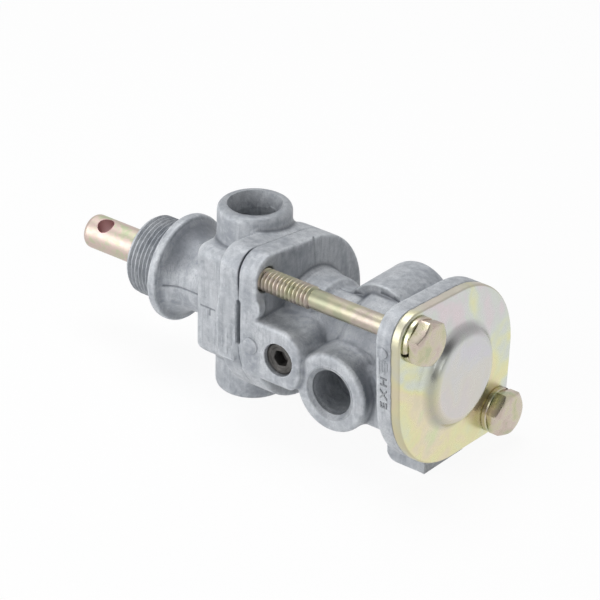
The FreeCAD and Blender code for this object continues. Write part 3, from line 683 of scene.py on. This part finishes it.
def lower_reshape(points):
    x, y, z = points.T
    groove, shade = boss_shades(x, y, z)
    # Painted shade in the recess behind the upper screw.
    recess = 0.78 * rising(x, 41, 43) * rising(x, 66, 60) * rising(y, -15.5, -12.5)
    recess = recess * rising(y, -2, -5) * rising(z, 13, 9) * (z > -16)
    points = points + (0.45 * groove)[:, None] * np.array((0, 1, 0))
    points, seam_shade = creased(points, LOWER_SEAMS)
    shade = 0.75 * np.maximum(shade, recess)
    return points, np.maximum.reduce([seam_shade, joint_opened(points, 1), shade])


lower_skin = soft_skin("lower_body", "lower_casting", lower_freedom, lower_reshape)
finish_piece(lower_skin, cast_metal, "housing", 180, ["lower_body"])

# %% [markdown]
# The end cover is pressed from thick sheet. The press leaves the dome round and soft, and the plate round
# it flat with a crisp rim, so only the dome is averaged much.

# %% Pressed cover
COVER_ROUNDS, COVER_TRIANGLES = 45, 90000


def cover_freedom(x, y, z):
    """Round and soft on the pressed dome, little changed on the plate and its rim."""
    dome = np.clip((17.5 - np.hypot(y, z)) / 2.0, 0.16, 1)
    return np.where(x < END_FACE_X + 0.5, 0.1, dome)


def cover_reshape(points):
    return points, np.zeros(len(points))


cover_skin = soft_skin(
    "end_cover", "pressed_cover", cover_freedom, cover_reshape, COVER_ROUNDS, COVER_TRIANGLES
)
finish_piece(cover_skin, cover_zinc, "housing", 180, ["end_cover"])

# %% [markdown]
# Threads, springs and ribs follow a rule, so Geometry Nodes grow them. Each tree has a named input for each
# size, ends by making its instances real and setting the finish, and is then turned into a plain mesh.

# %% Helpers for shape trees
NOT_LENGTHS = ("Turns", "Count", "Flatness")


def new_tree(name, sizes):
    """Node tree with a named input for the finish and for each size, whole where the size is a count."""
    tree = bpy.data.node_groups.new(name, "GeometryNodeTree")
    tree.interface.new_socket("Geometry", in_out="OUTPUT", socket_type="NodeSocketGeometry")
    for label, value in sizes.items():
        kind = "NodeSocketInt" if isinstance(value, int) else "NodeSocketFloat"
        tree.interface.new_socket(label, in_out="INPUT", socket_type=kind).default_value = value
    tree.interface.new_socket("Finish", in_out="INPUT", socket_type="NodeSocketMaterial")
    return tree, tree.nodes.new("NodeGroupInput").outputs


def end_tree(tree, inputs, shape):
    """The last nodes: instances made real, then the finish, then the way out."""
    real = add_node(tree, "GeometryNodeRealizeInstances", i0=shape)
    paint = add_node(tree, "GeometryNodeSetMaterial", Geometry=real.outputs[0], Material=inputs["Finish"])
    add_node(tree, "NodeGroupOutput", i0=paint.outputs[0])
    print(tree.name, len(tree.nodes), "nodes")
    return tree


def grown(name, tree, finish, **sizes):
    """Mesh object grown by a tree. Its lengths are in millimetres."""
    obj = from_arrays(name, [(0, 0, 0)], [])
    grow = obj.modifiers.new("grow", "NODES")
    grow.node_group = tree
    identifiers = {s.name: s.identifier for s in tree.interface.items_tree if s.in_out == "INPUT"}
    for label, value in sizes.items():
        label = label.replace("_", " ")
        grow[identifiers[label]] = value if label in NOT_LENGTHS else value * MM
    grow[identifiers["Finish"]] = finish
    return baked(obj)


# %% [markdown]
# A thread is one ridge wound round a cylinder: a spiral curve, a small trapezium carried along it, and inputs
# for radius, pitch, turns and height. A ridge with a negative height points inwards and makes the thread of
# a tapped port. With a circle in place of the trapezium, the same tree winds a spring. The Screw modifier
# could wind one thread as well, but one tree with named sizes serves all seven threads and both springs.

# %% Winding trees


def wound_tree(name, round_wire=False):
    """Node tree: a trapezium, or a circle whose radius is the height, wound on a helix about Z from z = 0."""
    tree, inputs = new_tree(name, {
        "Radius": 0.01, "Pitch": 0.00127, "Turns": 5.0, "Height": 0.0005, "Root Width": 0.0011,
        "Crest Width": 0.0003,
    })
    times = {"operation": "MULTIPLY"}
    rise = add_node(tree, "ShaderNodeMath", times, i0=inputs["Pitch"], i1=inputs["Turns"])
    spiral = add_node(
        tree, "GeometryNodeCurveSpiral", Resolution=72, Rotations=inputs["Turns"], Height=rise.outputs[0],
        Start_Radius=inputs["Radius"], End_Radius=inputs["Radius"],
    )
    level = add_node(tree, "GeometryNodeSetCurveNormal", {"mode": "Z_UP"}, Curve=spiral.outputs[0])
    if round_wire:
        section = add_node(
            tree, "GeometryNodeCurvePrimitiveCircle", Resolution=12, Radius=inputs["Height"]
        )
    else:
        section = add_node(
            tree, "GeometryNodeCurvePrimitiveQuadrilateral", {"mode": "TRAPEZOID"}, Height=inputs["Height"],
            Bottom_Width=inputs["Root Width"], Top_Width=inputs["Crest Width"], Offset=0,
        )
    quarter = (0, 0, math.pi / 2)
    turn = add_node(tree, "GeometryNodeTransform", Geometry=section.outputs[0], Rotation=quarter)
    sweep = add_node(
        tree, "GeometryNodeCurveToMesh", Curve=level.outputs[0], Profile_Curve=turn.outputs[0], Fill_Caps=True
    )
    return end_tree(tree, inputs, sweep.outputs[0])


THREAD = wound_tree("thread_ridge")
SPRING = wound_tree("spring_wire", round_wire=True)

# %% Thread of the neck
PANEL_THREAD = {
    "Radius": 10.75, "Pitch": 1.27, "Turns": 6.9, "Height": 0.68, "Root_Width": 1.15, "Crest_Width": 0.2,
}
NECK_THREAD_START = -10.1


def placed(obj, origin, axis):
    """Moves what was made about Z to an axis through an origin in millimetres."""
    turn = Vector((0, 0, 1)).rotation_difference(Vector(axis)).to_matrix().to_4x4()
    obj.data.transform(Matrix.Translation(Vector(origin) * MM) @ turn)
    obj.data.update()
    return obj


def faded(obj, root_r, reach):
    """Ends of a ridge, still about Z, brought down to its root radius over a reach."""
    points = read_points(obj.data)
    r = np.hypot(points[:, 0], points[:, 1])
    z = points[:, 2]
    share = rising(z, z.min(), z.min() + reach) * rising(z, z.max(), z.max() - reach)
    points[:, :2] *= ((root_r + (r - root_r) * share) / r)[:, None]
    write_points(obj.data, points)
    return obj


neck_thread = outwards(grown("neck_thread", THREAD, cut_metal, **PANEL_THREAD))
faded(neck_thread, THREAD_ROOT_R - 0.05, 1.0)
placed(neck_thread, (NECK_THREAD_START, 0, 0), (1, 0, 0))
finish_piece(neck_thread, cut_metal, "housing", 30)

# %% [markdown]
# Sleeves, shafts and screw heads are all turned or nearly turned forms. They could be spun from a drawn
# outline by hand. Here one helper spins rows of points about an axis, so that each size stays readable. A
# row may have another radius at each angle, and that makes the hexagon of a screw head: six flats, blended a
# little at their corners.

# %% Turned forms
SEGMENTS = 144
ANGLES = np.linspace(0, 2 * math.pi, SEGMENTS, endpoint=False)


def turned_form(name, rows, ring=False):
    """Closed form about Z from rows of (height, radius). A ring joins its last row to its first."""
    points = []
    for height, radius in rows:
        height = np.broadcast_to(height, SEGMENTS)
        radius = np.broadcast_to(radius, SEGMENTS)
        points += list(zip(radius * np.cos(ANGLES), radius * np.sin(ANGLES), height))
    faces = []
    for i in range(len(rows) if ring else len(rows) - 1):
        a, b = i * SEGMENTS, (i + 1) % len(rows) * SEGMENTS
        for k in range(SEGMENTS):
            n = (k + 1) % SEGMENTS
            faces.append((a + k, a + n, b + n, b + k))
    if not ring:
        faces.append(tuple(range(SEGMENTS)))
        faces.append(tuple((len(rows) - 1) * SEGMENTS + k for k in range(SEGMENTS)))
    return outwards(from_arrays(name, points, faces))


def hexagon(flats, sharpness=120):
    """Radius at each angle of a hexagon whose corners are rounded, less so when the sharpness is high."""
    normals = np.radians(30 + 60 * np.arange(6))
    reach = np.maximum(np.cos(ANGLES[:, None] - normals), 0) ** sharpness
    return flats / 2 * reach.sum(1) ** (-1 / sharpness)


def joined(name, *objects):
    """Several objects made one."""
    work = bmesh.new()
    for obj in objects:
        work.from_mesh(obj.data)
        bpy.data.objects.remove(obj)
    mesh = bpy.data.meshes.new(name)
    work.to_mesh(mesh)
    work.free()
    return add_object(name, mesh)


print("hexagon of 10 mm: corners at", round(float(hexagon(10).max()), 2), "mm")

# %% [markdown]
# The four ports take quarter inch taper pipe fittings. Each gets a machined sleeve with a countersunk mouth
# and a thread, set into the mouth of its casting boss. The two upright ports have a deeper countersink.

# %% Tapped ports
PORT_ROOT_R, SLEEVE_R, PROUD = 6.15, 7.5, 0.04
PORT_PITCH = 1.411
PORT_THREAD = {"Radius": 5.9, "Pitch": PORT_PITCH, "Height": -0.55, "Root_Width": 1.3, "Crest_Width": 0.25}
PORTS = {
    "supply": ((SUPPLY_X, 0, PORT_FACE_Z), (0, 0, -1), 12.0),
    "delivery": ((SUPPLY_X, 0, -PORT_FACE_Z), (0, 0, 1), 12.0),
    "exhaust": ((66.4, -20.7, -5.8), (0, 1, 0), 12.1),
    "control": ((66.4, 18.0, 5.8), (0, -1, 0), 9.4),
}
UPRIGHT_CONE, UPRIGHT_START = [(-PROUD, 7.36), (3.0, PORT_ROOT_R + 0.1)], 3.4
SIDE_CONE, SIDE_START = [(-PROUD, 7.12), (0.96, PORT_ROOT_R)], 1.4
for port, (mouth, inwards, depth) in PORTS.items():
    upright = inwards[2] != 0
    cone, start = (UPRIGHT_CONE, UPRIGHT_START) if upright else (SIDE_CONE, SIDE_START)
    bottom = depth - 0.05
    rows = [(-PROUD, SLEEVE_R), *cone, (bottom, PORT_ROOT_R), (bottom, SLEEVE_R)]
    sleeve = turned_form(port + "_sleeve", rows, ring=True)
    turns = (depth - 1.0 - start) / PORT_PITCH
    ridge = outwards(grown(port + "_ridge", THREAD, cut_metal, Turns=turns, **PORT_THREAD))
    faded(ridge, PORT_ROOT_R + 0.03, 1.6)
    ridge.data.transform(Matrix.Translation((0, 0, start * MM)))
    piece = placed(joined(port + "_port_thread", sleeve, ridge), mouth, inwards)
    finish_piece(piece, cut_metal, "housing", 30)

# %% [markdown]
# The two long screws hold the whole valve together. Their threads are rolled, so the plain shank is a little
# thinner than the thread. The head has a chamfer turned on its top, so its flats end in arcs: the radius
# of each row follows the hexagon, and its height falls where the hexagon reaches out past the crown.

# %% Cap screws
TIP_X, THREAD_END_X, HEAD_X, HEAD_H = 32.3, 59.1, 92.5, 3.9
SHANK_R, SCREW_ROOT_R, CROWN_R = 2.7, 2.5, 4.9
HEAD_FLATS, CHAMFER = 11.1, math.radians(30)
SCREW_THREAD = {
    "Radius": 2.82, "Pitch": 1.27, "Turns": 20.0, "Height": 0.62, "Root_Width": 1.12, "Crest_Width": 0.2,
}
SCREWS = {"upper": (-17.8, 17.8, 38), "lower": (17.8, -17.8, 46)}


def screw_shaft():
    """Tip, threaded length, plain shank and the blend under the head."""
    return turned_form("shaft", [
        (TIP_X, 2.2), (TIP_X + 0.4, SCREW_ROOT_R), (THREAD_END_X - 0.5, SCREW_ROOT_R),
        (THREAD_END_X, SHANK_R), (HEAD_X - 0.3, SHANK_R), (HEAD_X + 0.1, SHANK_R + 0.4),
    ])


def screw_head(turn):
    """Hexagon with its chamfered top, turned by an angle in degrees."""
    edge = hexagon(HEAD_FLATS)
    fall = np.maximum(edge - CROWN_R, 0) * math.tan(CHAMFER)
    top = HEAD_X + HEAD_H
    head = turned_form("head", [
        (HEAD_X, 2.5), (HEAD_X, edge - 0.2), (HEAD_X + 0.12, edge - 0.04), (HEAD_X + 0.3, edge),
        (top - fall - 0.16, edge), (top - fall - 0.04, edge - 0.06),
        (top - 0.75 * fall, edge - 0.25 * (edge - CROWN_R)),
        (top - 0.06, CROWN_R + 0.02), (top, CROWN_R - 0.25), (top - 0.02, 1.0),
    ])
    head.data.transform(Matrix.Rotation(math.radians(turn), 4, "Z"))
    return head


for side, (y, z, turn) in SCREWS.items():
    ridge = faded(outwards(grown("ridge", THREAD, screw_zinc, **SCREW_THREAD)), SCREW_ROOT_R, 0.8)
    ridge.data.transform(Matrix.Translation((0, 0, (TIP_X + 0.7) * MM)))
    screw = joined("cap_screw_" + side + "_threaded", screw_shaft(), ridge, screw_head(turn))
    screw.data.transform(Matrix(((0, 0, 1, 0), (1, 0, 0, y * MM), (0, 1, 0, z * MM), (0, 0, 0, 1))))
    finish_piece(screw, screw_zinc, "housing", 28, ["cap_screw_" + side])

# %% [markdown]
# Two coil springs push the plunger and the piston back. They are drawn wire, so the same winding makes
# them with a round section, each in the space of its solid.

# %% Coil springs
SPRINGS = {
    "plunger_spring": (1.2, 5.0, "plunger_slide", 6.3, 60.0),
    "piston_spring": (0.8, 6.0, "tripper_slide", 1.2, 63.0),
}
for node, (wire, turns, joint, travel, fixed_x) in SPRINGS.items():
    low, high = (np.array(corner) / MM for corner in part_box(node))
    run = high[0] - low[0] - wire
    coil = outwards(grown(
        node + "_coil", SPRING, spring_wire, Radius=(high[1] - low[1] - wire) / 2, Pitch=run / turns,
        Turns=turns, Height=wire / 2,
    ))
    placed(coil, (low[0] + wire / 2, 0, 0), (1, 0, 0))
    finish_piece(coil, spring_wire, "housing", 50, [node])
    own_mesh(coil)

# %% [markdown]
# The cross drilling of the lower casting is closed by a dark socket plug. A boolean could sink the socket,
# but as a turned form the rows simply run on down its wall. Its hexagon is worn round, so its corners are
# blended more than those of the screw heads.

# %% Socket plug
PLUG_R, PLUG_LONG, PLUG_FACE_Y, PLUG_TURN = 4.5, 5.9, -21.2, 12
SOCKET_FLATS, SOCKET_DEEP, SOCKET_SHARPNESS = 4.0, 3.5, 18
socket_edge = hexagon(SOCKET_FLATS, SOCKET_SHARPNESS)
plug = turned_form("side_plug_socket", [
    (-PLUG_LONG, PLUG_R - 0.2), (-0.55, PLUG_R - 0.02), (-0.35, PLUG_R - 0.1), (-0.06, PLUG_R - 0.5),
    (-0.02, PLUG_R - 0.7), (-0.05, PLUG_R - 1.25), (-0.22, PLUG_R - 1.45), (-0.25, socket_edge + 0.22),
    (-0.42, socket_edge + 0.03), (-0.6, socket_edge), (-SOCKET_DEEP, socket_edge), (-SOCKET_DEEP - 0.4, 0.4),
])
plug.data.transform(Matrix.Rotation(math.radians(PLUG_TURN), 4, "Z"))
placed(plug, (PLUG_PLACE[0], PLUG_FACE_Y, PLUG_PLACE[1]), (0, -1, 0))
finish_piece(plug, dark_oxide, "housing", 35, ["side_plug"])

# %% [markdown]
# Small marks of the mould and of handling stand on the castings. Two rims show scraped ribs. They repeat, so
# a node tree lays a row of thin bars, each with a length and a drift of its own from fixed seeds.

# %% Rib tree


def rib_tree():
    """Node tree: thin bars along Z in a row along X, their length and place varied."""
    tree, inputs = new_tree("scraped_ribs", {
        "Count": 8, "Spacing": 0.0005, "Length": 0.01, "Drift": 0.001, "Width": 0.0002, "Flatness": 0.5,
    })
    step = add_node(tree, "ShaderNodeCombineXYZ", X=inputs["Spacing"])
    row = add_node(tree, "GeometryNodeMeshLine", Count=inputs["Count"], Offset=step.outputs[0])
    bar = add_node(
        tree, "GeometryNodeMeshCylinder", Vertices=8, Radius=inputs["Width"], Depth=inputs["Length"]
    )
    number = {"data_type": "FLOAT"}
    vary = add_node(tree, "FunctionNodeRandomValue", number, Min=0.35, Max=1.0, Seed=3)
    drift = add_node(tree, "FunctionNodeRandomValue", number, Min=-1.0, Max=1.0, Seed=8)
    times = {"operation": "MULTIPLY"}
    far = add_node(tree, "ShaderNodeMath", times, i0=drift.outputs["Value"], i1=inputs["Drift"])
    aside = add_node(tree, "ShaderNodeCombineXYZ", Z=far.outputs[0])
    scatter = add_node(tree, "GeometryNodeSetPosition", Geometry=row.outputs[0], Offset=aside.outputs[0])
    stretch = add_node(tree, "ShaderNodeCombineXYZ", X=1, Y=inputs["Flatness"], Z=vary.outputs["Value"])
    lay = add_node(
        tree, "GeometryNodeInstanceOnPoints", Points=scatter.outputs[0], Instance=bar.outputs[0],
        Scale=stretch.outputs[0],
    )
    return end_tree(tree, inputs, lay.outputs[0])


RIBS = rib_tree()

# %% Scraped ribs
RIM_Y, RIM_SLOPE, RIM_LEVEL_Z = -23.97, 0.0545, -1.3


def rim_y(z):
    """The near rim of the end flange, a plane that leans a little outwards as it rises."""
    return RIM_Y - RIM_SLOPE * (z - RIM_LEVEL_Z)


def rib_row(name, start, lean, **sizes):
    """A row of ribs from a start in millimetres, leaning about X by an angle in degrees."""
    obj = grown(name, RIBS, cast_metal, **sizes)
    obj.data.transform(Matrix.Translation(Vector(start) * MM) @ Matrix.Rotation(math.radians(lean), 4, "X"))
    return finish_piece(obj, cast_metal, "housing", 60)


rib_row(
    "pad_ribs", (31.2, -22.2, 4.0), 0,
    Count=14, Spacing=0.42, Length=16.0, Drift=2.5, Width=0.11, Flatness=0.9,
)
rib_row(
    "rim_ribs", (84.8, rim_y(10.9) - 0.03, 10.9), math.degrees(RIM_SLOPE),
    Count=6, Spacing=0.50, Length=4.6, Drift=0.5, Width=0.13, Flatness=0.9,
)

# %% [markdown]
# Ejector pins push a casting out of its mould and leave round marks. Here they stand a little proud, one on
# the joint flange and one on the rim of the end flange. A shallow turned disc with a soft edge makes each.

# %% Pin marks
PIN_MARKS = {
    "joint_pin_mark": ((41.75, -22.2, -0.15), 2.3),
    "rim_pin_mark": ((85.9, rim_y(14.9), 14.9), 1.5),
}
for name, (place, radius) in PIN_MARKS.items():
    disc = turned_form(name, [(-0.3, radius), (0.36, radius), (0.50, radius - 0.16), (0.46, 0.3)])
    placed(disc, place, (0, -1, 0))
    finish_piece(disc, cast_metal, "housing", 50)

# %% [markdown]
# Where the halves of the mould met on the joint flange, they left a thin raised seam. It is so small that a
# three-sided bar does, laid along the flange's far face and leaning a little to one side.

# %% Flange seam
SEAM_FOOT, SEAM_SIDE, SEAM_PROUD = Vector((43.3, 0.9, 23.0)), Vector((0, 0.32, 0.05)), Vector((0.45, 0, 0))
SEAM_RUN = Vector((0, 1.6, -10.5))
section = [SEAM_FOOT - SEAM_SIDE, SEAM_FOOT + SEAM_SIDE, SEAM_FOOT + SEAM_PROUD]
seam = outwards(from_arrays(
    "flange_seam",
    section + [p + SEAM_RUN for p in section],
    [(0, 1, 2), (3, 4, 5), (0, 1, 4, 3), (1, 2, 5, 4), (2, 0, 3, 5)],
))
finish_piece(seam, cast_metal, "housing", 30)

# %% [markdown]
# The letters cast on the rim are the usual mark for an exhaust port, and name no maker. A text curve is made
# a mesh first, and then its points are laid on the leaning plane of the rim, a little taller than wide.

# %% Raised word
WORD_START_Z, WORD_LONG = -1.0, 8.8
WORD_FOOT_X, WORD_TALL = 87.1, 2.0
word = bpy.data.curves.new("word", "FONT")
word.body = "EXH"
word.size = 3.6 * MM
word.extrude = 0.22 * MM
word.space_character = 1.45
word.offset = 0.05 * MM
word_object = add_object("word", word)
graph = bpy.context.evaluated_depsgraph_get()
letters = bpy.data.meshes.new_from_object(word_object.evaluated_get(graph))
bpy.data.objects.remove(word_object)
spots = read_points(letters)
across = (spots[:, 0] - spots[:, 0].min()) / np.ptp(spots[:, 0])
height = (spots[:, 1] - spots[:, 1].min()) / np.ptp(spots[:, 1])
z = WORD_START_Z + WORD_LONG * across
write_points(letters, np.column_stack([WORD_FOOT_X - WORD_TALL * height, rim_y(z) - spots[:, 2], z]))
# The word's darker finish is painted shade.
finish_piece(add_object("port_word", letters), cast_shade, "housing", 30)

# %% [markdown]
# The camera stands where the photograph was taken from. It could be set by eye, but its angles and its lens
# were solved from the round ports, the flanges and the screws, so each piece falls on the same place of the
# frame as in the photograph.

# %% Camera
scene = bpy.context.scene
scene.view_settings.view_transform = "Standard"

AZIMUTH, ELEVATION, ROLL = (math.radians(v) for v in (38.028, 28.404, 1.243))
TARGET = Vector((40.20, 0.0, 3.55)) * MM
DISTANCE = 885.66 * MM
SENSOR, FOCAL_PIXELS, FRAME_PIXELS = 36, 3398.09, 600
back = Vector((
    math.cos(ELEVATION) * math.sin(AZIMUTH), -math.cos(ELEVATION) * math.cos(AZIMUTH), math.sin(ELEVATION),
))
right = Vector((math.cos(AZIMUTH), math.sin(AZIMUTH), 0))
up = back.cross(right)
right_rolled = math.cos(ROLL) * right + math.sin(ROLL) * up
up_rolled = math.cos(ROLL) * up - math.sin(ROLL) * right
camera_data = bpy.data.cameras.new("camera")
camera_data.sensor_width = SENSOR
camera_data.lens = SENSOR * FOCAL_PIXELS / FRAME_PIXELS
camera_data.clip_start = 0.01
camera = add_object("camera", camera_data)
camera.matrix_world = Matrix.Translation(TARGET + DISTANCE * back) @ Matrix(
    [[right_rolled[i], up_rolled[i], back[i]] for i in range(3)]
).to_4x4()
scene.camera = camera
print("camera at", [round(v, 3) for v in camera.matrix_world.translation], "lens", round(camera_data.lens, 1))

# %% [markdown]
# The valve stands on a pale floor that keeps its shadow. To the camera, and in reflections, the floor glows
# almost white, because the photograph's ground is white, and that glow lights nothing else.

# %% Floor
FLOOR_Z, FLOOR_HALF = -26.85, 4000
FLOOR_GREY, GLOW_SHARE = 0.94, 0.93
corners = [(-1, -1), (1, -1), (1, 1), (-1, 1)]
floor = from_arrays("floor", [(FLOOR_HALF * x, FLOOR_HALF * y, FLOOR_Z) for x, y in corners], [(0, 1, 2, 3)])
paint = Finish("floor_paint", 0.0, 0.9, (FLOOR_GREY, FLOOR_GREY, FLOOR_GREY))
glow = paint.add("ShaderNodeEmission", Color=(1, 1, 1, 1), Strength=1.0)
path = paint.add("ShaderNodeLightPath").outputs
seen = paint.math("MAXIMUM", path["Is Camera Ray"], path["Is Glossy Ray"])
seen = paint.math("MULTIPLY", paint.math("MAXIMUM", seen, path["Is Transmission Ray"]), GLOW_SHARE)
surface = paint.add("ShaderNodeMixShader", i0=seen, i1=paint.shader.outputs[0], i2=glow.outputs[0])
paint.tree.links.new(surface.outputs[0], paint.tree.nodes["Material Output"].inputs["Surface"])
floor.data.materials.append(paint.material)
print("floor at z", FLOOR_Z, "mm")

# %% [markdown]
# Such a photograph is lit by soft boxes round a white table, and one corner of the room beyond stays dark.
# Plated steel shows that room, and its dark reflections are what make it look like metal. So the world has
# three faces: white for the camera, a pale room with one dark corner for reflections, and a weak ambient
# light for everything else. The corner is a fixed direction of the room, so it doesn't move with the camera.

# %% Studio room
DARK_CORNER = Vector((0.55, -0.50, 0.67)).normalized()
AMBIENT = 0.18
scene.world = bpy.data.worlds.new("studio")
scene.world.use_nodes = True
sky = scene.world.node_tree
rays = add_node(sky, "ShaderNodeLightPath").outputs
ambient = sky.nodes["Background"]
ambient.inputs["Color"].default_value = (0.94, 0.96, 1.0, 1)
ambient.inputs["Strength"].default_value = AMBIENT
white = add_node(sky, "ShaderNodeBackground", Color=(1, 1, 1, 1), Strength=1.0)
way = add_node(sky, "ShaderNodeTexCoord").outputs["Generated"]
towards = add_node(sky, "ShaderNodeVectorMath", {"operation": "DOT_PRODUCT"}, i0=way, i1=DARK_CORNER)
level = add_node(
    sky, "ShaderNodeMapRange", Value=towards.outputs["Value"], From_Min=0.55, From_Max=0.90, To_Min=1.0,
    To_Max=0.10,
)
room = add_node(sky, "ShaderNodeBackground", Strength=level.outputs[0])
direct = add_node(
    sky, "ShaderNodeMath", {"operation": "MAXIMUM"}, i0=rays["Is Camera Ray"], i1=rays["Is Transmission Ray"]
)
mirrored = add_node(
    sky, "ShaderNodeMixShader", i0=rays["Is Glossy Ray"], i1=ambient.outputs[0], i2=room.outputs[0]
)
choose = add_node(
    sky, "ShaderNodeMixShader", i0=direct.outputs[0], i1=mirrored.outputs[0], i2=white.outputs[0]
)
sky.links.new(choose.outputs[0], sky.nodes["World Output"].inputs["Surface"])
print("world of", len(sky.nodes), "nodes")

# %% Soft boxes
VALVE_MIDDLE = (40, 0, 0)


def soft_box(name, place, size, power):
    """Square lamp at a place in millimetres, turned to the valve."""
    lamp = bpy.data.lights.new(name, "AREA")
    lamp.shape = "SQUARE"
    lamp.size = size * MM
    lamp.energy = power
    obj = add_object(name, lamp)
    obj.location = Vector(place) * MM
    obj.rotation_euler = (obj.location - Vector(VALVE_MIDDLE) * MM).to_track_quat("Z", "Y").to_euler()
    print(name, size, "mm", power, "W")


soft_box("left_box", (-200, -600, 60), 800, 5.3)
soft_box("right_box", (650, -250, 250), 260, 0.4)
soft_box("top_box", (-80, 60, 650), 420, 2.8)
